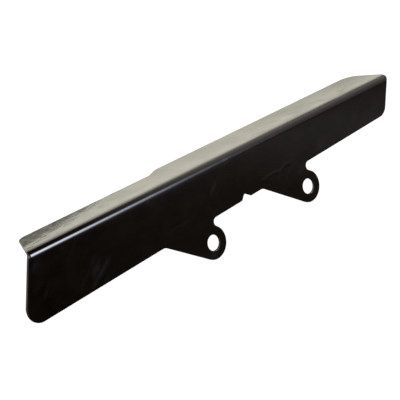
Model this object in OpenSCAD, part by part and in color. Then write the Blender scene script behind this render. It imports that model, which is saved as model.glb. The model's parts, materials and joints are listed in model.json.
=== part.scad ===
// Folded steel blade plate: an upright face with two bolt ears, and a flange bent back along its top.
// +X runs along the bend to the right, +Y to the back and +Z up.
// The origin is the centre of the left bolt hole, in the plane of the face's front.

/* [Sheet] */
// Thickness of the steel sheet
sheet_t = 1.9; // [1.5:0.1:3]
// Inside radius of the bend between the face and the flange
bend_inside_r = 2.4; // [1.5:0.1:4]
// Radius of every outer corner of the blank
corner_r = 11.5; // [4:0.5:14]

/* [Face] */
// Height of the flange's top above the left bolt hole
flange_top = 61.6; // [58:0.1:70]
// Height of the straight lower edge above the left bolt hole
lower_edge_height = 17.95; // [16:0.05:19]
// Rise of the lower edge to the right, in degrees
lower_edge_rise = 2.86; // [2:0.01:3.4]
// Distance from the left bolt hole to the left end, along the bend
left_reach = 171.6; // [140:0.1:200]
// Distance from the left bolt hole to the right end of the face, along the bend
right_reach = 245.5; // [220:0.1:280]
// Lean of the face's left end from upright, in degrees
left_end_lean = 22.3; // [10:0.1:28]
// Lean of the face's right end from upright, in degrees
right_end_lean = 25.3; // [10:0.1:30]

/* [Flange] */
// Depth of the flange over its left part, from the front of the face
flange_depth_left = 44.45; // [40:0.05:47]
// Depth of the flange over its right part, from the front of the face
flange_depth_right = 52.3; // [50:0.1:60]
// Place of the step between the two depths, counted from the left bolt hole
step_x = -10.4; // [-60:0.1:60]
// Angle of the step to the bend, in degrees
step_angle = 30.3; // [20:0.1:50]
// Lean of the flange's slanted ends from square, in degrees
flange_end_lean = 28.5; // [10:0.1:30]
// How far the flange's square right end stands out past the end of the bend
flange_overhang = 6.3; // [5.5:0.1:12]

/* [Ears] */
// Diameter of both bolt holes
hole_d = 13; // [9:0.1:14]
// Radius of the ear around each bolt hole
ear_r = 13.9; // [12.5:0.1:15]
// Distance between the bolt holes along X
hole_pitch = 117.6; // [100:0.1:130]
// Height of the right bolt hole above the left one
hole_rise = 4.04; // [3:0.01:6]
// Fall of each ear's long left side, in degrees
taper_angle = 33.7; // [30:0.1:45]
// Radius where the long side leaves the lower edge
root_r = 8; // [2:0.5:10]
// Radius of the undercut on the right side of the left ear
left_undercut_r = 3.75; // [3:0.05:4.5]
// Radius of the undercut on the right side of the right ear
right_undercut_r = 3.9; // [3.4:0.05:4.5]

/* [Notch] */
// Place of the notch's tip, counted from the left bolt hole
notch_x = 45.5; // [35:0.1:55]
// Height of the notch's tip above the lower edge, before it is rounded
notch_depth = 4.8; // [4:0.1:8]
// Slope of the notch's left wall, in degrees
notch_left_slope = 50; // [40:1:60]
// Slope of the notch's right wall, in degrees
notch_right_slope = 33; // [25:1:45]
// Radius of the notch's tip
notch_r = 2; // [1:0.1:2.5]

/* [Hidden] */

$fn = 96;
steel_black = [0.06, 0.06, 0.06];
bend_outside_r = bend_inside_r + sheet_t;
// Height at which the flat face ends and the bend starts
bend_z = flange_top - bend_outside_r;
// Material that an ear's outline shares with the face above it
ear_overlap = 5;
// Length by which every cutter stands out of each side of the sheet
cut_excess = 1;
// Overlap of neighbouring cutters, and the same as an angle on the bend
cut_lap = 0.01;
cut_lap_angle = 0.2;
// The sheet before it is cut out reaches this far each way along X, and this far below the holes
blank_reach = max(left_reach, right_reach) + 40;
blank_drop = ear_r + 5;
// The cutters reach further
cut_reach = blank_reach + 10;
cut_drop = blank_drop + 10;
// The ends run up the bend as a fine stair, in this many steps
bend_steps = 18;
step_r = 6;
notch_lip_r = 0.8;
square_end_r = 4;
quarter_turn = 90;
half_turn = 180;

// Both slanted ends run on round the bend, and this is where they reach the flange
bend_arc = bend_outside_r * PI / 2;
flange_left_x = -left_reach + bend_arc * tan(left_end_lean);
flange_right_x = right_reach + bend_arc * tan(right_end_lean);
flange_slant = tan(flange_end_lean);

left_hole = [0, 0];
right_hole = [hole_pitch, hole_rise];

function unit(v) = v / norm(v);
function along(angle) = [cos(angle), sin(angle)];
function between(a, b, share) = a + (b - a) * share;

// Height of the lower edge at x
function edge_z(x) = lower_edge_height + x * tan(lower_edge_rise);

// Where the line through a at angle_a meets the line through b at angle_b
function meet(a, angle_a, b, angle_b) =
    a + along(angle_a) * cross(b - a, along(angle_b)) / cross(along(angle_a), along(angle_b));

// A corner is [x, y, radius]. These give its place, its neighbours' directions and its rounding.
function place(c) = [c[0], c[1]];
function before(c, i) = unit(place(c[(i + len(c) - 1) % len(c)]) - place(c[i]));
function after(c, i) = unit(place(c[(i + 1) % len(c)]) - place(c[i]));
function half_angle(c, i) = acos(before(c, i) * after(c, i)) / 2;
function run(c, i) = c[i][2] / tan(half_angle(c, i));
function is_outer(c, i) = cross(before(c, i), after(c, i)) < 0;
function arc_centre(c, i) =
    place(c[i]) + unit(before(c, i) + after(c, i)) * c[i][2] / sin(half_angle(c, i));

// Corners of the face, counter-clockwise as seen from the front, without its ears. Its slanted ends
// are drawn on to the height of the flange's top.
edge_start = [0, edge_z(0)];
lower_left = meet([-left_reach, bend_z], quarter_turn - left_end_lean, edge_start, lower_edge_rise);
lower_right = meet([right_reach, bend_z], quarter_turn - right_end_lean, edge_start, lower_edge_rise);
notch_tip = [notch_x, edge_z(notch_x) + notch_depth];
notch_left = meet(notch_tip, notch_left_slope, edge_start, lower_edge_rise);
notch_right = meet(notch_tip, -notch_right_slope, edge_start, lower_edge_rise);
face_corners = [
    [-left_reach + bend_outside_r * tan(left_end_lean), flange_top, 0],
    [lower_left[0], lower_left[1], corner_r],
    [notch_left[0], notch_left[1], notch_lip_r],
    [notch_tip[0], notch_tip[1], notch_r],
    [notch_right[0], notch_right[1], notch_lip_r],
    [lower_right[0], lower_right[1], corner_r],
    [right_reach + bend_outside_r * tan(right_end_lean), flange_top, 0],
];

// Corners of the flange, counter-clockwise as seen from above. Its slanted ends are drawn on to the
// front of the face.
rear_left_x = flange_left_x + (flange_depth_left - bend_outside_r) * flange_slant;
step_end_x = step_x + (flange_depth_right - flange_depth_left) / tan(step_angle);
square_end_x = right_reach + flange_overhang;
square_end_y = bend_outside_r + (square_end_x - flange_right_x) / flange_slant;
flange_corners = [
    [flange_left_x - bend_outside_r * flange_slant, 0, 0],
    [flange_right_x - bend_outside_r * flange_slant, 0, 0],
    [square_end_x, square_end_y, square_end_r],
    [square_end_x, flange_depth_right, corner_r],
    [step_end_x, flange_depth_right, corner_r],
    [step_x, flange_depth_left, step_r],
    [rear_left_x, flange_depth_left, corner_r],
];

// A flat outline whose corners are rounded by true arcs
module rounded_outline(c) {
    corners = [0 : len(c) - 1];
    difference() {
        union() {
            polygon([
                for (i = corners)
                    each c[i][2] == 0
                        ? [place(c[i])]
                        : [place(c[i]) + before(c, i) * run(c, i), place(c[i]) + after(c, i) * run(c, i)]
            ]);
            for (i = corners)
                if (c[i][2] > 0 && is_outer(c, i)) translate(arc_centre(c, i)) circle(c[i][2]);
        }
        for (i = corners)
            if (c[i][2] > 0 && !is_outer(c, i)) translate(arc_centre(c, i)) circle(c[i][2]);
    }
}

// An ear's outline: a long straight left side, a round end and an undercut where it meets the edge
module ear_outline(hole, undercut_r) {
    // Long side, tangent to the round end, and the arc at its root
    side_end = hole - ear_r * [sin(taper_angle), cos(taper_angle)];
    root = meet(side_end, -taper_angle, edge_start, lower_edge_rise);
    root_half = (half_turn - taper_angle - lower_edge_rise) / 2;
    root_run = root_r / tan(root_half);
    root_on_edge = root - root_run * along(lower_edge_rise);
    root_on_side = root + root_run * along(-taper_angle);
    root_centre = root_on_edge - root_r * along(lower_edge_rise + quarter_turn);

    // Undercut arc, tangent to the round end and to the lower edge
    up = along(lower_edge_rise + quarter_turn);
    edge_gap = (edge_start - hole) * up;
    undercut_up = edge_gap - undercut_r;
    undercut_along = sqrt(pow(ear_r + undercut_r, 2) - pow(undercut_up, 2));
    undercut_centre = hole + undercut_up * up + undercut_along * along(lower_edge_rise);
    undercut_on_ear = hole + ear_r * unit(undercut_centre - hole);
    undercut_on_edge = undercut_centre + undercut_r * up;

    difference() {
        union() {
            translate(hole) circle(ear_r);
            polygon([
                root_on_edge,
                root_on_side,
                side_end,
                hole,
                undercut_on_ear,
                undercut_on_edge,
                undercut_on_edge + ear_overlap * up,
                root_on_edge + ear_overlap * up,
            ]);
        }
        translate(root_centre) circle(root_r);
        translate(undercut_centre) circle(undercut_r);
    }
}

// Flat shapes drawn as seen from the front become solids that start at the front of the face
module from_front(depth) {
    translate([0, depth, 0]) rotate([quarter_turn, 0, 0]) linear_extrude(depth) children();
}

// The whole sheet before it is cut out: one bent profile, drawn as seen from the left end
module folded_sheet() {
    translate([-blank_reach, 0, 0])
        rotate([quarter_turn, 0, quarter_turn])
            linear_extrude(2 * blank_reach) {
                translate([0, -blank_drop]) square([sheet_t, bend_z + blank_drop]);
                translate([bend_outside_r, bend_z + bend_inside_r])
                    square([flange_depth_right - bend_outside_r, sheet_t]);
                translate([bend_outside_r, bend_z]) bend_profile();
            }
}

module bend_profile() {
    intersection() {
        difference() {
            circle(bend_outside_r);
            circle(bend_inside_r);
        }
        translate([-bend_outside_r, 0]) square(bend_outside_r);
    }
}

// What is cut away around the face, up to the bend
module face_waste() {
    translate([0, -cut_excess, 0]) from_front(sheet_t + 2 * cut_excess) difference() {
        translate([-cut_reach, -cut_drop]) square([2 * cut_reach, cut_drop + bend_z + cut_lap]);
        union() {
            rounded_outline(face_corners);
            ear_outline(left_hole, left_undercut_r);
            ear_outline(right_hole, right_undercut_r);
        }
    }
}

// What is cut away around the flange, back from the bend
module flange_waste() {
    translate([0, 0, bend_z + bend_inside_r - cut_excess])
        linear_extrude(sheet_t + 2 * cut_excess)
            difference() {
                translate([-cut_reach, bend_outside_r - cut_lap])
                    square([2 * cut_reach, flange_depth_right]);
                rounded_outline(flange_corners);
            }
}

// One step of the waste at the bend's ends, between two places along X
module bend_waste(i, x_from, x_to) {
    step = quarter_turn / bend_steps;
    translate([0, bend_outside_r, bend_z])
        rotate([quarter_turn, 0, quarter_turn])
            rotate([0, 0, half_turn - (i + 1) * step - cut_lap_angle])
                rotate_extrude(angle = step + 2 * cut_lap_angle)
                    translate([bend_inside_r - cut_excess, x_from])
                        square([sheet_t + 2 * cut_excess, x_to - x_from]);
}

module bore(hole) {
    translate([hole[0], sheet_t + cut_excess, hole[1]])
        rotate([quarter_turn, 0, 0])
            cylinder(h = sheet_t + 2 * cut_excess, d = hole_d);
}

module blade_plate() {
    color(steel_black) difference() {
        folded_sheet();
        face_waste();
        flange_waste();
        for (i = [0 : bend_steps - 1]) {
            share = (i + 0.5) / bend_steps;
            bend_waste(i, -cut_reach, between(-left_reach, flange_left_x, share));
            bend_waste(i, between(right_reach, flange_right_x, share), cut_reach);
        }
        bore(left_hole);
        bore(right_hole);
    }
}

blade_plate();
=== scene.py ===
import json
import math

import bpy
from mathutils import Matrix, Vector
from mathutils.geometry import delaunay_2d_cdt


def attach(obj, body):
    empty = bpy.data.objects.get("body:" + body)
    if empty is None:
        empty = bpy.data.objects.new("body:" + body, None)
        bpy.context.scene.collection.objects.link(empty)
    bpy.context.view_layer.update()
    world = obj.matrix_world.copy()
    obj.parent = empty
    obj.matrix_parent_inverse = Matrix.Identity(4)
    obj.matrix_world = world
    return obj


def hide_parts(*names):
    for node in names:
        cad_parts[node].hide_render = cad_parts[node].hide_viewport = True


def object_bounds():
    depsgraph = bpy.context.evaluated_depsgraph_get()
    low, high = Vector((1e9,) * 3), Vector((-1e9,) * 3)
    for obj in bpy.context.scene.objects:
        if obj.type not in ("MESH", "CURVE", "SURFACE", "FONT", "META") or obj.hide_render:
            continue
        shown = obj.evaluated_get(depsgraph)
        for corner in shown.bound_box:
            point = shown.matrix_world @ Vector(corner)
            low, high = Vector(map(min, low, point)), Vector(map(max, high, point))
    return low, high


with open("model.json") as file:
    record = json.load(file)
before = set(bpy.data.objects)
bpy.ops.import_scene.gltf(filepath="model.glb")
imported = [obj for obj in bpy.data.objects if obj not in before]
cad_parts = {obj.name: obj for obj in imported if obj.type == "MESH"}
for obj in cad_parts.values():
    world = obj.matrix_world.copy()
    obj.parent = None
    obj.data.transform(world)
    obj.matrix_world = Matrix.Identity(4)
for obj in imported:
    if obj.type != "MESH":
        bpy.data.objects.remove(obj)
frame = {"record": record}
CAD_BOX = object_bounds()
MOUNTS = {mount["name"]: mount for mount in frame["record"]["mounts"]}

# The plate's dimensions, in metres and degrees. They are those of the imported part.
MM = 0.001
SHEET_T = MOUNTS["back_face"]["pos_m"][1]
BEND_INSIDE_R = 2.4 * MM
BEND_OUTSIDE_R = BEND_INSIDE_R + SHEET_T
FLANGE_TOP = MOUNTS["flange_top"]["pos_m"][2]
BEND_Z = FLANGE_TOP - BEND_OUTSIDE_R            # height at which the face turns into the bend
BEND_ARC = BEND_OUTSIDE_R * math.pi / 2
CORNER_R = 11.5 * MM

# The face: its ends, measured from the left hole at BEND_Z, and its lower edge
LEFT_REACH = 171.6 * MM
RIGHT_REACH = 245.5 * MM
LEFT_END_LEAN = 22.3
RIGHT_END_LEAN = 25.3
LOWER_EDGE_HEIGHT = 17.95 * MM                  # above the left hole
LOWER_EDGE_RISE = 2.86

# The flange: its depths are measured from the face, and the step lies between them
FLANGE_DEPTH_LEFT = 44.45 * MM
FLANGE_DEPTH_RIGHT = CAD_BOX[1].y
FLANGE_RIGHT = CAD_BOX[1].x
FLANGE_END_LEAN = 28.5
STEP_X = -10.4 * MM
STEP_ANGLE = 30.3
STEP_R = 6 * MM
SQUARE_END_R = 4 * MM

# The two ears, as (along, up) from the left hole
LEFT_HOLE = Vector(MOUNTS["left_ear_hole"]["pos_m"]).xz
RIGHT_HOLE = Vector(MOUNTS["right_ear_hole"]["pos_m"]).xz
HOLE_R = MOUNTS["left_ear_hole"]["dims"]["r_mm"] * MM
EAR_R = 13.9 * MM
TAPER_ANGLE = 33.7
ROOT_R = 8 * MM
LEFT_UNDERCUT_R = 3.75 * MM
RIGHT_UNDERCUT_R = 3.9 * MM

# The notch between the ears
NOTCH_X = 45.5 * MM
NOTCH_DEPTH = 4.8 * MM
NOTCH_LEFT_SLOPE = 50
NOTCH_RIGHT_SLOPE = 33
NOTCH_R = 2 * MM
NOTCH_LIP_R = 0.8 * MM

# How the mesh follows those shapes
EDGE_R = 0.6 * MM       # the coat's rounding along every cut edge
EDGE_STEPS = 4
BEND_STEPS = 20
ARC_STEP = 4            # degrees of a round stretch between two points
FEWEST_STEPS = 3
SPACING = 4 * MM        # longest step along a straight stretch, and of the grid inside the outline
CLEAR_OF_EDGE = 1 * MM
CLOSEST_CUTS = 0.02 * MM
SAME_POINT = 0.01 * MM
ROUNDING = 1e-6 * MM    # smaller differences are rounding errors
NEAR_END = 1e-4         # share of a stretch, beside its ends, that a bend row doesn't cut
MITRE_LIMIT = 0.5       # keeps the shift at a sharp corner under twice the inset
WORN_FROM = 0.3         # the coat wears where this share of its normal, or more, points out of a cut

# A pressed sheet doesn't turn at once: the bend eases in over the top of the face, and eases out
# along the flange
EASE_IN = math.radians(1.8)
EASE_IN_LENGTH = 1.6 * MM
EASE_OUT = math.radians(3.2)
EASE_OUT_LENGTH = 4.5 * MM
EASE_IN_ROWS = (-4, -2.8, -1.8, -1.1, -0.5)     # mm from the bend
EASE_OUT_ROWS = (0.5, 1, 1.6, 2.3, 3.1)
PRESSED_TURN = math.pi / 2 - EASE_OUT
PRESSED_R = ((BEND_OUTSIDE_R - math.tan(EASE_OUT) * EASE_OUT_LENGTH)
             / (math.sin(PRESSED_TURN) - math.sin(EASE_IN)))
EASE_PULL = (BEND_OUTSIDE_R - math.tan(EASE_IN) * EASE_IN_LENGTH
             - PRESSED_R * (math.cos(EASE_IN) - math.cos(PRESSED_TURN)))
EASE_DIP = math.tan(EASE_OUT) * EASE_OUT_LENGTH


# --- The flat blank -----------------------------------------------------------------------------
# The sheet is drawn unfolded: u runs along the bend, v up the face, round the outside of the bend and
# back along the flange. Outlines run counter-clockwise, with the steel on their left.

def along(degrees):
    """The direction at that angle, counter-clockwise from u."""
    return Vector((math.cos(math.radians(degrees)), math.sin(math.radians(degrees))))


def cross(a, b):
    """Positive where b lies counter-clockwise of a."""
    return a.x * b.y - a.y * b.x


def meet(a, angle_a, b, angle_b):
    """Where the line through a at angle_a meets the line through b at angle_b."""
    return a + along(angle_a) * (cross(b - a, along(angle_b)) / cross(along(angle_a), along(angle_b)))


def arc(centre, start, turn):
    """Points round a circle from the point start, turning by that many degrees."""
    steps = max(FEWEST_STEPS, math.ceil(abs(turn) / ARC_STEP))
    turns = [math.radians(turn * i / steps) for i in range(steps + 1)]
    return [centre + Matrix.Rotation(angle, 2) @ (start - centre) for angle in turns]


def rounded(before, corner, after, radius):
    """The round stretch that replaces a corner."""
    if radius == 0:
        return [corner.copy()]
    a = (before - corner).normalized()
    b = (after - corner).normalized()
    half = a.angle(b) / 2
    start = corner + a * radius / math.tan(half)
    centre = corner + (a + b).normalized() * radius / math.sin(half)
    turn = 180 - math.degrees(2 * half)
    return arc(centre, start, turn if cross(-a, b) > 0 else -turn)


def edge_at(u):
    """The point of the face's lower edge at u."""
    return Vector((u, LOWER_EDGE_HEIGHT + u * math.tan(math.radians(LOWER_EDGE_RISE))))


def ear(hole, undercut_r):
    """An ear's outline from left to right: root, long side, round end and undercut."""
    up = along(LOWER_EDGE_RISE + 90)
    side_end = hole - EAR_R * Vector((along(TAPER_ANGLE).y, along(TAPER_ANGLE).x))
    root = meet(side_end, -TAPER_ANGLE, edge_at(0), LOWER_EDGE_RISE)
    undercut_up = (edge_at(0) - hole).dot(up) - undercut_r
    undercut_along = math.sqrt((EAR_R + undercut_r) ** 2 - undercut_up ** 2)
    undercut_centre = hole + up * undercut_up + along(LOWER_EDGE_RISE) * undercut_along
    on_ear = hole + (undercut_centre - hole).normalized() * EAR_R
    on_edge = undercut_centre + up * undercut_r
    round_end = math.degrees((side_end - hole).angle_signed(on_ear - hole)) % 360
    round_end = min(round_end, 360 - round_end)
    undercut = math.degrees((on_ear - undercut_centre).angle(on_edge - undercut_centre))
    return (rounded(edge_at(root.x - EAR_R), root, side_end, ROOT_R)
            + arc(hole, side_end, round_end)
            + arc(undercut_centre, on_ear, -undercut))


def outline():
    """The blank's outer outline, counter-clockwise."""
    flange_v = BEND_Z + BEND_ARC
    slant = math.tan(math.radians(FLANGE_END_LEAN))
    rear_left_v = flange_v + FLANGE_DEPTH_LEFT - BEND_OUTSIDE_R
    rear_right_v = flange_v + FLANGE_DEPTH_RIGHT - BEND_OUTSIDE_R
    left_end = Vector((-LEFT_REACH, BEND_Z))
    right_end = Vector((RIGHT_REACH, BEND_Z))
    flange_left = left_end + Vector((math.tan(math.radians(LEFT_END_LEAN)), 1)) * BEND_ARC
    flange_right = right_end + Vector((math.tan(math.radians(RIGHT_END_LEAN)), 1)) * BEND_ARC
    notch_tip = edge_at(NOTCH_X) + Vector((0, NOTCH_DEPTH))
    lower_edge = (edge_at(0), LOWER_EDGE_RISE)
    square_end_v = flange_v + (FLANGE_RIGHT - flange_right.x) / slant
    step_run = (rear_right_v - rear_left_v) / math.tan(math.radians(STEP_ANGLE))
    corners = [
        (flange_left, 0),
        (meet(left_end, 90 - LEFT_END_LEAN, *lower_edge), CORNER_R),
        (meet(notch_tip, NOTCH_LEFT_SLOPE, *lower_edge), NOTCH_LIP_R),
        (notch_tip, NOTCH_R),
        (meet(notch_tip, -NOTCH_RIGHT_SLOPE, *lower_edge), NOTCH_LIP_R),
        (meet(right_end, 90 - RIGHT_END_LEAN, *lower_edge), CORNER_R),
        (flange_right, 0),
        (Vector((FLANGE_RIGHT, square_end_v)), SQUARE_END_R),
        (Vector((FLANGE_RIGHT, rear_right_v)), CORNER_R),
        (Vector((STEP_X + step_run, rear_right_v)), CORNER_R),
        (Vector((STEP_X, rear_left_v)), STEP_R),
        (flange_left + Vector((slant, 1)) * (rear_left_v - flange_v), CORNER_R),
    ]
    # Each ear hangs from the lower edge, after the corner of that number
    ears = {1: ear(LEFT_HOLE, LEFT_UNDERCUT_R), 4: ear(RIGHT_HOLE, RIGHT_UNDERCUT_R)}
    points = []
    for i, (place, radius) in enumerate(corners):
        following = corners[(i + 1) % len(corners)][0]
        points += rounded(corners[i - 1][0], place, following, radius)
        points += ears.get(i, [])
    return [p for i, p in enumerate(points) if (p - points[i - 1]).length > SAME_POINT]


def hole_outline(centre):
    """A bolt hole's outline, clockwise."""
    return arc(centre, centre + Vector((HOLE_R, 0)), -360)[:-1]


def bend_rows():
    """The values of v at which the sheet is creased to follow the bend and its easing."""
    return ([BEND_Z + row * MM for row in EASE_IN_ROWS]
            + [BEND_Z + BEND_ARC * i / BEND_STEPS for i in range(BEND_STEPS + 1)]
            + [BEND_Z + BEND_ARC + row * MM for row in EASE_OUT_ROWS])


def divided(points):
    """The same closed outline with its straight stretches cut into short steps and at every bend row."""
    out = []
    for a, b in zip(points, points[1:] + points[:1]):
        length = (b - a).length
        steps = max(1, math.ceil(length / SPACING))
        cuts = [i / steps for i in range(steps)]
        if abs(b.y - a.y) > ROUNDING:
            crossings = [(v - a.y) / (b.y - a.y) for v in bend_rows()]
            cuts += [share for share in crossings if NEAR_END < share < 1 - NEAR_END]
        kept = []
        for share in sorted(cuts):
            if not kept or length * (share - kept[-1]) > CLOSEST_CUTS:
                kept.append(share)
        out += [a.lerp(b, share) for share in kept]
    return out


def outward_normals(points):
    """At each point of a closed outline, the mitred direction out of the steel."""
    out = []
    for i, p in enumerate(points):
        before = (p - points[i - 1]).normalized()
        after = (points[(i + 1) % len(points)] - p).normalized()
        outward = Vector((before.y, -before.x))
        middle = (outward + Vector((after.y, -after.x))).normalized()
        out.append(middle / max(MITRE_LIMIT, middle.dot(outward)))
    return out


# --- Folding ------------------------------------------------------------------------------------

def section(v):
    """The outer surface at v in the plate's cross-section: its place (y, z) and how far it has turned."""
    if v <= BEND_Z:
        slope = math.tan(EASE_IN) * math.exp((v - BEND_Z) / EASE_IN_LENGTH)
        return slope * EASE_IN_LENGTH, v, math.atan(slope)
    if v <= BEND_Z + BEND_ARC:
        angle = EASE_IN + (v - BEND_Z) / BEND_ARC * (PRESSED_TURN - EASE_IN)
        y = math.tan(EASE_IN) * EASE_IN_LENGTH + PRESSED_R * (math.cos(EASE_IN) - math.cos(angle))
        return y, BEND_Z + PRESSED_R * (math.sin(angle) - math.sin(EASE_IN)), angle
    past = v - BEND_Z - BEND_ARC
    remaining = math.exp(-past / EASE_OUT_LENGTH)
    slope = EASE_DIP / EASE_OUT_LENGTH * remaining
    turned = math.pi / 2 - math.atan(slope)
    return BEND_OUTSIDE_R + past - EASE_PULL * remaining, FLANGE_TOP - EASE_DIP * remaining, turned


def folded(u, v, depth):
    """Where a point of the blank lies once it is folded, that deep inside the outer surface."""
    y, z, angle = section(v)
    return Vector((u, y + depth * math.cos(angle), z - depth * math.sin(angle)))


def folded_normal(v, across, out):
    """A direction of the blank once it is folded: across the sheet as (u, v), and out of its surface."""
    angle = section(v)[2]
    up = Vector((0, math.sin(angle), math.cos(angle)))
    face = Vector((0, -math.cos(angle), math.sin(angle)))
    return (Vector((across.x, 0, 0)) + up * across.y + face * out).normalized()


def edge_profile():
    """The edge of the sheet from its outer to its inner surface: (inset, depth, share out, share up)."""
    front = []
    for i in range(EDGE_STEPS + 1):
        out = math.sin(math.pi / 2 * i / EDGE_STEPS)
        up = math.cos(math.pi / 2 * i / EDGE_STEPS)
        front.append((EDGE_R * (1 - out), EDGE_R * (1 - up), out, up))
    back = [(inset, SHEET_T - depth, out, -up) for inset, depth, out, up in reversed(front)]
    return front + back


def inside_points(loops):
    """A grid of points inside the steel, with rows along the bend."""
    lowest = min(p.y for p in loops[0])
    highest = max(p.y for p in loops[0])
    left = min(p.x for p in loops[0])
    right = max(p.x for p in loops[0])
    rows = bend_rows()
    n_face = math.ceil((rows[0] - lowest) / SPACING)
    n_flange = math.ceil((highest - rows[-1]) / SPACING)
    rows = ([rows[0] - SPACING * i for i in range(1, n_face)] + rows
            + [rows[-1] + SPACING * i for i in range(1, n_flange)])
    n = math.ceil((right - left) / SPACING)
    points = []
    for v in rows:
        for i in range(1, n):
            p = Vector((left + (right - left) * i / n, v))
            if in_steel(p, loops) and is_clear(p, loops):
                points.append(p)
    return points


def in_steel(p, loops):
    """Whether a point of the blank is in the steel: inside the outline and outside the holes."""
    inside = False
    for loop in loops:
        for a, b in zip(loop, loop[1:] + loop[:1]):
            if (a.y > p.y) != (b.y > p.y) and p.x < a.x + (b.x - a.x) * (p.y - a.y) / (b.y - a.y):
                inside = not inside
    return inside


def is_clear(p, loops):
    """Whether a point of the blank is well away from every edge. No stretch is longer than SPACING."""
    for loop in loops:
        for a, b in zip(loop, loop[1:] + loop[:1]):
            if abs(a.x - p.x) < 2 * SPACING:
                share = min(max((p - a).dot(b - a) / (b - a).length_squared, 0), 1)
                if (a.lerp(b, share) - p).length < CLEAR_OF_EDGE:
                    return False
    return True


def triangles_in_steel(triangles, rim):
    """The triangles on the left of the directed edges in rim, and all that join on to them."""
    sides = {}
    for n, t in enumerate(triangles):
        for edge in zip(t, t[1:] + t[:1]):
            sides[edge] = n
    rim = set(rim)
    kept = set()
    reached = [sides[edge] for edge in rim]
    while reached:
        n = reached.pop()
        if n not in kept:
            kept.add(n)
            t = triangles[n]
            reached += [sides[b, a] for a, b in zip(t, t[1:] + t[:1]) if (a, b) not in rim]
    return [triangles[n] for n in sorted(kept)]


class Shell:
    """The plate's mesh while it is put together: folded points, their normals and wear, and faces."""

    def __init__(self):
        self.verts = []
        self.normals = []
        self.wear = []
        self.faces = []

    def fold(self, p, depth, across, out, wear):
        """Adds a point of the blank, that deep in the sheet, and returns its number."""
        self.verts.append(folded(p.x, p.y, depth))
        self.normals.append(folded_normal(p.y, across, out))
        self.wear.append(wear)
        return len(self.verts) - 1


def cut_edge(shell, loop):
    """The cut edge along one loop, as rows of points from the outer to the inner surface."""
    ways = outward_normals(loop)
    rows = []
    for inset, depth, out, up in edge_profile():
        wear = 1.0 if out > WORN_FROM else 0.0
        rows.append([shell.fold(p - way * inset, depth, way.normalized() * out, up, wear)
                     for p, way in zip(loop, ways)])
    for lower, upper in zip(rows, rows[1:]):
        for i in range(len(loop)):
            j = (i + 1) % len(loop)
            shell.faces.append((lower[j], lower[i], upper[i], upper[j]))
    return rows


def broad_surface(loops):
    """The points inside the rounded edges, and the triangles that join them and those edges."""
    inset = [[p - way * EDGE_R for p, way in zip(loop, outward_normals(loop))] for loop in loops]
    rim = []
    n_rim = 0
    for loop in inset:
        rim += [(n_rim + i, n_rim + (i + 1) % len(loop)) for i in range(len(loop))]
        n_rim += len(loop)
    within = inside_points(inset)
    flat = [p for loop in inset for p in loop] + within
    made, _, triangles, origin, _, _ = delaunay_2d_cdt(flat, rim, [], 0, ROUNDING, True)
    assert len(made) == len(flat), "the outline crosses itself"
    triangles = [[origin[k][0] for k in t] for t in triangles]
    return within, triangles_in_steel(triangles, rim)


def plate_mesh():
    """The folded plate as one closed mesh, with the exact normal at each vertex."""
    loops = [divided(outline()), hole_outline(LEFT_HOLE), hole_outline(RIGHT_HOLE)]
    shell = Shell()
    edges = [cut_edge(shell, loop) for loop in loops]
    within, triangles = broad_surface(loops)
    for row, depth, out in ((0, 0, 1), (-1, SHEET_T, -1)):
        numbers = [i for rows in edges for i in rows[row]]
        numbers += [shell.fold(p, depth, Vector((0, 0)), out, 0.0) for p in within]
        for t in triangles:
            corners = [numbers[k] for k in t]
            shell.faces.append(corners if out > 0 else corners[::-1])
    mesh = bpy.data.meshes.new("blade_plate_coated")
    mesh.from_pydata(shell.verts, [], shell.faces)
    mesh.validate()
    mesh.polygons.foreach_set("use_smooth", [True] * len(mesh.polygons))
    mesh.normals_split_custom_set_from_vertices(shell.normals)
    attribute = mesh.attributes.new("edge", "FLOAT", "POINT")
    attribute.data.foreach_set("value", shell.wear)
    return mesh


# --- Shader nodes -------------------------------------------------------------------------------

def shader_node(tree, kind, settings, inputs):
    """A new node; an input is a number, a colour, or another node's output."""
    node = tree.nodes.new(kind)
    for name, value in settings.items():
        setattr(node, name, value)
    for name, value in inputs.items():
        if isinstance(value, bpy.types.NodeSocket):
            tree.links.new(value, node.inputs[name])
        else:
            node.inputs[name].default_value = value
    return node


def maths(tree, operation, a, b=0.0, c=0.0):
    return shader_node(tree, "ShaderNodeMath", {"operation": operation}, {0: a, 1: b, 2: c}).outputs[0]


def plus(tree, base, share, amount):
    """base + share x amount"""
    return maths(tree, "MULTIPLY_ADD", share, amount, base)


def soft_step(tree, value, low, high):
    """0 below low, 1 above high and smooth between; the other way round where low is above high."""
    return shader_node(tree, "ShaderNodeMapRange", {"interpolation_type": "SMOOTHSTEP"},
                       {"Value": value, "From Min": low, "From Max": high}).outputs["Result"]


def noise(tree, place, per_mm, detail=2.0, stretch=(1, 1, 1), roughness=0.5):
    """Noise over the object, centred on 0.5, that many waves to a millimetre."""
    scaled = shader_node(tree, "ShaderNodeMapping", {}, {"Vector": place, "Scale": stretch}).outputs[0]
    return shader_node(tree, "ShaderNodeTexNoise", {},
                       {"Vector": scaled, "Scale": per_mm / MM, "Detail": detail,
                        "Roughness": roughness}).outputs["Fac"]


def tint(tree, share, a, b):
    """Colour a where share is 0, b where it is 1. Colour a can be another node's output."""
    first = a if isinstance(a, bpy.types.NodeSocket) else (*a, 1)
    return shader_node(tree, "ShaderNodeMix", {"data_type": "RGBA"},
                       {"Factor": share, "A": first, "B": (*b, 1)}).outputs["Result"]


# --- The coat -----------------------------------------------------------------------------------

COAT_DARK = (0.0009, 0.0004, 0.0001)
COAT_LIGHT = (0.0023, 0.0015, 0.0010)
SMUDGE_COLOUR = (0.0042, 0.0036, 0.0038)
WORN_COLOUR = (0.022, 0.020, 0.018)
COAT_IOR = 1.5

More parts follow.
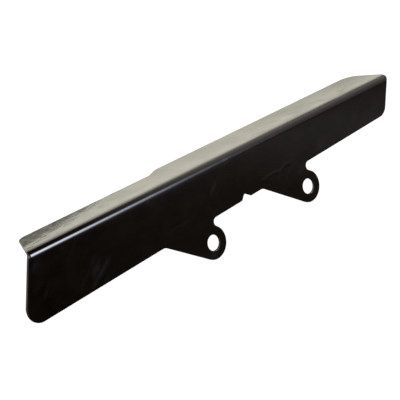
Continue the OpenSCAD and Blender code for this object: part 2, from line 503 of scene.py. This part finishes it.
# The clean coat's roughness, and what each of the others adds where it is strongest
CLEAN_ROUGHNESS = 0.05
UNEVEN_ROUGHNESS = 0.08
SMUDGE_ROUGHNESS = 0.05
DULL_ROUGHNESS = 0.36
WORN_ROUGHNESS = 0.25

PEEL_HEIGHT = 0.008 * MM
DRAWN_HEIGHT = 0.008 * MM       # fine lines along the sheet
WAVE_HEIGHT = 0.2 * MM          # the sheet's own slow waviness
GRAIN_HEIGHT = 0.1 * MM         # of the dull patch
SMUDGE_SLANT = 38

# How noise turns into marks: none at the first value, full at the second
HUE_STEP = (0.3, 0.7)
STREAK_STEP = (0.52, 0.72)
SMUDGED_STEP = (0.45, 0.62)
CHIP_STEP = (0.5, 0.68)
SPECKLE_STEP = (0.42, 0.58)

# The dull patch: its edge crosses the flange on a slant, and its grain makes that edge ragged
DULL_SLANT = -0.28
DULL_RAGGEDNESS = 60 * MM
DULL_EDGE = (88 * MM, 102 * MM)
DULL_LEAST = 0.6                # how dull the patch is between its speckles
SPECKLE_DULLNESS = 0.45         # and what a speckle adds

# The ripples above the ears, measured from each hole. They fade in and out between two places.
RIPPLE_HEIGHT = 0.03 * MM
RIPPLE_HALF_WIDTH = 2.6 * MM
RIPPLE_LEVEL = 31 * MM
RIPPLE_RISE = LOWER_EDGE_RISE + 2
RIPPLE_WANDER = 8 * MM
RIPPLE_LEFT = (-56 * MM, -40 * MM)
RIPPLE_RIGHT = (-4 * MM, -22 * MM)

# The shear that cut the left end pulled the face down beside it
ROLLED_WIDTH = 3.5 * MM
ROLLED_DROP = 0.3 * MM


def below_top(first_mm, second_mm):
    """Two heights below the top of the flange, to step between."""
    return FLANGE_TOP - first_mm * MM, FLANGE_TOP - second_mm * MM


def overspray(tree, place, axes):
    """How dull the flange is towards its rear left corner, and the grain of that patch."""
    grain = noise(tree, place, per_mm=0.5, detail=5, stretch=(0.2, 1, 1), roughness=0.75)
    ragged = plus(tree, plus(tree, axes["Y"], axes["X"], DULL_SLANT), grain, DULL_RAGGEDNESS)
    specks = noise(tree, place, per_mm=0.4, detail=3, stretch=(0.6, 1, 1))
    speckle = soft_step(tree, specks, *SPECKLE_STEP)
    speckled = maths(tree, "MULTIPLY_ADD", speckle, SPECKLE_DULLNESS, DULL_LEAST)
    patch = maths(tree, "MULTIPLY", soft_step(tree, ragged, *DULL_EDGE), speckled)
    dull = maths(tree, "MULTIPLY", patch, soft_step(tree, axes["Z"], *below_top(1.5, 0.6)))
    return dull, maths(tree, "MULTIPLY", grain, dull)


def smudges(tree, place):
    """Smudges that lie slantwise over the whole plate, in patches."""
    turned = shader_node(tree, "ShaderNodeMapping", {},
                         {"Vector": place, "Rotation": (0, math.radians(SMUDGE_SLANT), 0)}).outputs[0]
    streak = noise(tree, turned, per_mm=0.11, detail=3, stretch=(0.3, 1, 1))
    patch = noise(tree, place, per_mm=0.022, detail=2)
    return maths(tree, "MULTIPLY", soft_step(tree, streak, *STREAK_STEP),
                 soft_step(tree, patch, *SMUDGED_STEP))


def worn_edges(tree, place):
    """Where the coat is chipped along the cut edges."""
    edge = shader_node(tree, "ShaderNodeAttribute", {"attribute_name": "edge"}, {}).outputs["Fac"]
    chips = noise(tree, place, per_mm=0.5, detail=4)
    return maths(tree, "MULTIPLY", edge, soft_step(tree, chips, *CHIP_STEP))


def ripple(tree, place, axes, hole):
    """The low ripple that the press left in the face above an ear, along the lower edge."""
    beside = maths(tree, "SUBTRACT", axes["X"], hole.x)
    level = plus(tree, axes["Z"], beside, -math.tan(math.radians(RIPPLE_RISE)))
    bent = plus(tree, level, noise(tree, place, per_mm=0.08, detail=2), RIPPLE_WANDER)
    off = maths(tree, "ABSOLUTE", maths(tree, "SUBTRACT", bent, hole.y + RIPPLE_LEVEL))
    length = maths(tree, "MULTIPLY", soft_step(tree, beside, *RIPPLE_LEFT),
                   soft_step(tree, beside, *RIPPLE_RIGHT))
    return maths(tree, "MULTIPLY", soft_step(tree, off, RIPPLE_HALF_WIDTH, 0), length)


def rolled_end(tree, axes):
    """How far the face falls away beside its left end. The flange's top stays flat."""
    lean = math.radians(LEFT_END_LEAN)
    inward = maths(tree, "MULTIPLY_ADD", axes["X"], math.cos(lean), LEFT_REACH * math.cos(lean))
    inward = plus(tree, maths(tree, "ADD", inward, BEND_Z * math.sin(lean)), axes["Z"], -math.sin(lean))
    short = maths(tree, "MAXIMUM", maths(tree, "SUBTRACT", ROLLED_WIDTH, inward), 0)
    squared = maths(tree, "MULTIPLY", short, short)
    drop = maths(tree, "MULTIPLY", squared, -ROLLED_DROP / ROLLED_WIDTH ** 2)
    return maths(tree, "MULTIPLY", drop, soft_step(tree, axes["Z"], *below_top(0.2, 1.5)))


def coat_height(tree, place, axes, grain):
    """The coat's surface: peel, lines along the sheet, rolled end, waves, patch's grain and ripples."""
    peel = noise(tree, place, per_mm=0.4, detail=2)
    drawn = noise(tree, place, per_mm=0.25, detail=3, stretch=(0.06, 1, 1))
    wave = noise(tree, place, per_mm=0.016, detail=1)
    height = maths(tree, "MULTIPLY", peel, PEEL_HEIGHT)
    height = plus(tree, height, drawn, DRAWN_HEIGHT)
    height = maths(tree, "ADD", height, rolled_end(tree, axes))
    height = plus(tree, height, wave, WAVE_HEIGHT)
    height = plus(tree, height, grain, GRAIN_HEIGHT)
    for hole in (LEFT_HOLE, RIGHT_HOLE):
        height = plus(tree, height, ripple(tree, place, axes, hole), RIPPLE_HEIGHT)
    return height


def coat_material():
    """Gloss black paint: orange peel, a slightly wavy sheet, a dull patch, smudges and worn edges."""
    material = bpy.data.materials.new("black_coat")
    material.use_nodes = True
    tree = material.node_tree
    place = shader_node(tree, "ShaderNodeTexCoord", {}, {}).outputs["Object"]
    axes = shader_node(tree, "ShaderNodeSeparateXYZ", {}, {0: place}).outputs
    dull, grain = overspray(tree, place, axes)
    smudge = smudges(tree, place)
    worn = worn_edges(tree, place)

    hue = noise(tree, place, per_mm=0.04, detail=4, stretch=(1, 1, 1.4), roughness=0.65)
    colour = tint(tree, soft_step(tree, hue, *HUE_STEP), COAT_DARK, COAT_LIGHT)
    colour = tint(tree, smudge, colour, SMUDGE_COLOUR)
    colour = tint(tree, worn, colour, WORN_COLOUR)

    uneven = noise(tree, place, per_mm=0.09, detail=3)
    rough = maths(tree, "MULTIPLY_ADD", uneven, UNEVEN_ROUGHNESS, CLEAN_ROUGHNESS)
    rough = plus(tree, rough, smudge, SMUDGE_ROUGHNESS)
    rough = plus(tree, rough, dull, DULL_ROUGHNESS)
    rough = plus(tree, rough, worn, WORN_ROUGHNESS)

    height = coat_height(tree, place, axes, grain)
    bump = shader_node(tree, "ShaderNodeBump", {}, {"Height": height, "Distance": 1.0, "Strength": 1.0})
    shader = tree.nodes["Principled BSDF"]
    shader.inputs["IOR"].default_value = COAT_IOR
    tree.links.new(colour, shader.inputs["Base Color"])
    tree.links.new(rough, shader.inputs["Roughness"])
    tree.links.new(bump.outputs["Normal"], shader.inputs["Normal"])
    return material


def blade_plate():
    mesh = plate_mesh()
    mesh.materials.append(coat_material())
    piece = bpy.data.objects.new("blade_plate_coated", mesh)
    bpy.context.scene.collection.objects.link(piece)
    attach(piece, "root")
    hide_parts("blade_plate")


# --- Camera and floor ---------------------------------------------------------------------------

# The camera stands at the front left, a little above the plate. The lens and sensor are in mm.
CAMERA_PLACE = Vector((-0.70692, -0.85714, 0.32390))
CAMERA_AZIMUTH = -39.435
CAMERA_ELEVATION = 14.464
CAMERA_ROLL = -15.69
CAMERA_LENS = 129.485
SENSOR_WIDTH = 36
NEAREST_SEEN = 0.01
FARTHEST_SEEN = 50
FLOOR_SIZE = 24
SURROUND_R = 10
MATT = 0.9


def camera():
    data = bpy.data.cameras.new("camera")
    data.sensor_width = SENSOR_WIDTH
    data.lens = CAMERA_LENS
    data.clip_start = NEAREST_SEEN
    data.clip_end = FARTHEST_SEEN
    cam = bpy.data.objects.new("camera", data)
    turn = (Matrix.Rotation(math.radians(CAMERA_AZIMUTH), 4, "Z")
            @ Matrix.Rotation(math.radians(90 - CAMERA_ELEVATION), 4, "X")
            @ Matrix.Rotation(math.radians(CAMERA_ROLL), 4, "Z"))
    cam.matrix_world = Matrix.Translation(CAMERA_PLACE) @ turn
    bpy.context.scene.collection.objects.link(cam)
    bpy.context.scene.camera = cam


def glowing(name, grey, specular, strength):
    """A matt grey material that gives off white light, so that it stays pale in any view."""
    material = bpy.data.materials.new(name)
    material.use_nodes = True
    shader = material.node_tree.nodes["Principled BSDF"]
    shader.inputs["Base Color"].default_value = (grey, grey, grey, 1)
    shader.inputs["Roughness"].default_value = MATT
    shader.inputs["Specular IOR Level"].default_value = specular
    shader.inputs["Emission Color"].default_value = (1, 1, 1, 1)
    shader.inputs["Emission Strength"].default_value = strength
    return material


def stage_floor():
    """A pale floor at the plate's lowest point, which the coat doesn't mirror."""
    bpy.ops.mesh.primitive_plane_add(size=FLOOR_SIZE, location=(0, 0, CAD_BOX[0].z))
    floor = bpy.context.object
    floor.name = "floor"
    floor.data.materials.append(glowing("pale_floor", grey=0.1, specular=0.5, strength=0.93))
    floor.visible_glossy = False


def stage_surround():
    """A white surround that only the camera sees, so that no view looks past the floor."""
    bpy.ops.mesh.primitive_uv_sphere_add(segments=48, ring_count=24, radius=SURROUND_R)
    surround = bpy.context.object
    surround.name = "surround"
    surround.data.materials.append(glowing("white_surround", grey=0, specular=0, strength=1.02))
    surround.visible_diffuse = False
    surround.visible_glossy = False
    surround.visible_transmission = False
    surround.visible_volume_scatter = False
    surround.visible_shadow = False


# --- Light --------------------------------------------------------------------------------------

# The studio's own axes: its ceiling leans a little to the plate's right
STUDIO_UP = Vector((0.3616, 0.0140, 0.9322))
STUDIO_AHEAD = Vector((0.6151, 0.7479, -0.2498))
STUDIO_RIGHT = Vector((0.7007, -0.6637, -0.2618))
BACKDROP_SLOPE = 0.102
BACKDROP_TOP = (STUDIO_UP - STUDIO_RIGHT * BACKDROP_SLOPE).normalized()

# The plate's axes
TO_RIGHT = Vector((1, 0, 0))
TO_REAR = Vector((0, 1, 0))
UP = Vector((0, 0, 1))
LOW_LAMP = Vector((-0.35, -0.92, -0.2))

WHITE = (1, 1, 1)
WARM = (1, 0.975, 0.83)
IVORY = (1, 0.96, 0.9)
EARTH = (1, 0.82, 0.68)
COOL_WHITE = (1, 1.01, 1.08)
COOLER_WHITE = (1, 1.01, 1.1)
COLD = (0.8, 0.84, 1.12)

# A limit is (axis, low, high): a light is 0 where the cosine with the axis is low, full where it is
# high and smooth between. These are the limits that several lights share.
HORIZON = (STUDIO_UP, -0.01, 0.03)
FAR_RIGHT = (TO_RIGHT, 0.6, 0.66)
RIGHT_SIDE = (TO_RIGHT, 0.54, 0.65)
NOT_AHEAD = (STUDIO_AHEAD, 0.86, 0.6)
AHEAD = (STUDIO_AHEAD, 0.1, 0.4)
BEHIND = (STUDIO_AHEAD, -0.22, -0.36)
BACKDROP_FOOT = (STUDIO_UP, -0.05, 0.25)
BACKDROP_EDGE = (BACKDROP_TOP, 0.515, 0.462)
BELOW_CEILING = (STUDIO_UP, 0.9, 0.68)
SOFTBOX_END = (TO_RIGHT, 0.43, 0.49)
LEFT_HALF = (TO_RIGHT, 0.45, 0.1)

# Each light is (limits, strength, colour)
LIGHTS = [
    # The room itself, which is a little lighter on the right
    ([], 0.02, EARTH),
    ([(TO_RIGHT, 0.5, 0.62)], 0.065, EARTH),
    # Two low steps along the horizon, which the right of the face mirrors
    ([HORIZON, (STUDIO_UP, 0.16, 0.09), FAR_RIGHT], 0.07, WHITE),
    ([HORIZON, (STUDIO_UP, 0.065, 0.035), FAR_RIGHT], 0.14, WHITE),
    # The ceiling, which the right of the bend mirrors
    ([(STUDIO_UP, 0.1, 0.2), RIGHT_SIDE, NOT_AHEAD], 0.47, IVORY),
    ([(STUDIO_UP, 0.5, 0.9), RIGHT_SIDE, NOT_AHEAD], 0.35, IVORY),
    # The backdrop, which the flange mirrors: its whole height, a band along its top, its left side
    ([BACKDROP_EDGE, BACKDROP_FOOT, AHEAD], 0.4, WARM),
    ([BACKDROP_EDGE, (BACKDROP_TOP, 0.435, 0.462), AHEAD], 1.15, WARM),
    ([(BACKDROP_TOP, 0.66, 0.46), (STUDIO_RIGHT, 0.1, -0.2), BACKDROP_FOOT, AHEAD], 0.5, WARM),
    # The softbox that the left of the bend mirrors as a streak, a weaker part of it further left, and
    # its cold halo
    ([BEHIND, (STUDIO_UP, 0.12, 0.45), BELOW_CEILING, SOFTBOX_END, (TO_RIGHT, 0.69, 0.475)],
     18.5, COOL_WHITE),
    ([BEHIND, (STUDIO_UP, 0.03, 0.2), BELOW_CEILING, (TO_RIGHT, 0.38, 0.33), (TO_RIGHT, 0.05, 0.2)],
     4.0, COOLER_WHITE),
    ([(STUDIO_AHEAD, -0.05, -0.26), (STUDIO_UP, -0.03, 0.1), BELOW_CEILING, SOFTBOX_END,
      (TO_RIGHT, 0.67, 0.55)], 3.1, COLD),
    # The left half of the studio: faint all round, then a rear, a front and a top light
    ([(UP, -0.45, 0.0), LEFT_HALF], 0.3, WHITE),
    ([(TO_REAR, 0.15, 0.6), (UP, -0.05, 0.12), (UP, 0.8, 0.45), LEFT_HALF], 1.2, WARM),
    ([(TO_REAR, -0.15, -0.6), (UP, -0.02, 0.15), (UP, 0.8, 0.5), LEFT_HALF], 0.9, WHITE),
    ([(UP, 0.72, 0.9), LEFT_HALF], 2.5, WHITE),
    # A lamp low in front and a little to the left
    ([(LOW_LAMP, 0.93, 0.985)], 1.5, WHITE),
]


def studio():
    """Soft light from all round, as the sum of the smooth-edged lights above."""
    world = bpy.data.worlds.new("studio")
    bpy.context.scene.world = world
    world.use_nodes = True
    tree = world.node_tree
    towards = shader_node(tree, "ShaderNodeTexCoord", {}, {}).outputs["Generated"]
    total = None
    for limits, strength, colour in LIGHTS:
        level = 1.0
        for axis, low, high in limits:
            facing = shader_node(tree, "ShaderNodeVectorMath", {"operation": "DOT_PRODUCT"},
                                 {0: towards, 1: axis}).outputs["Value"]
            level = maths(tree, "MULTIPLY", level, soft_step(tree, facing, low, high))
        part = shader_node(tree, "ShaderNodeVectorMath", {"operation": "SCALE"},
                           {0: [c * strength for c in colour], "Scale": level}).outputs["Vector"]
        if total is None:
            total = part
        else:
            total = shader_node(tree, "ShaderNodeVectorMath", {"operation": "ADD"},
                                {0: total, 1: part}).outputs["Vector"]
    background = tree.nodes["Background"]
    tree.links.new(total, background.inputs["Color"])
    background.inputs["Strength"].default_value = 1
    bpy.context.scene.view_settings.view_transform = "Standard"


blade_plate()
stage_floor()
stage_surround()
studio()
camera()
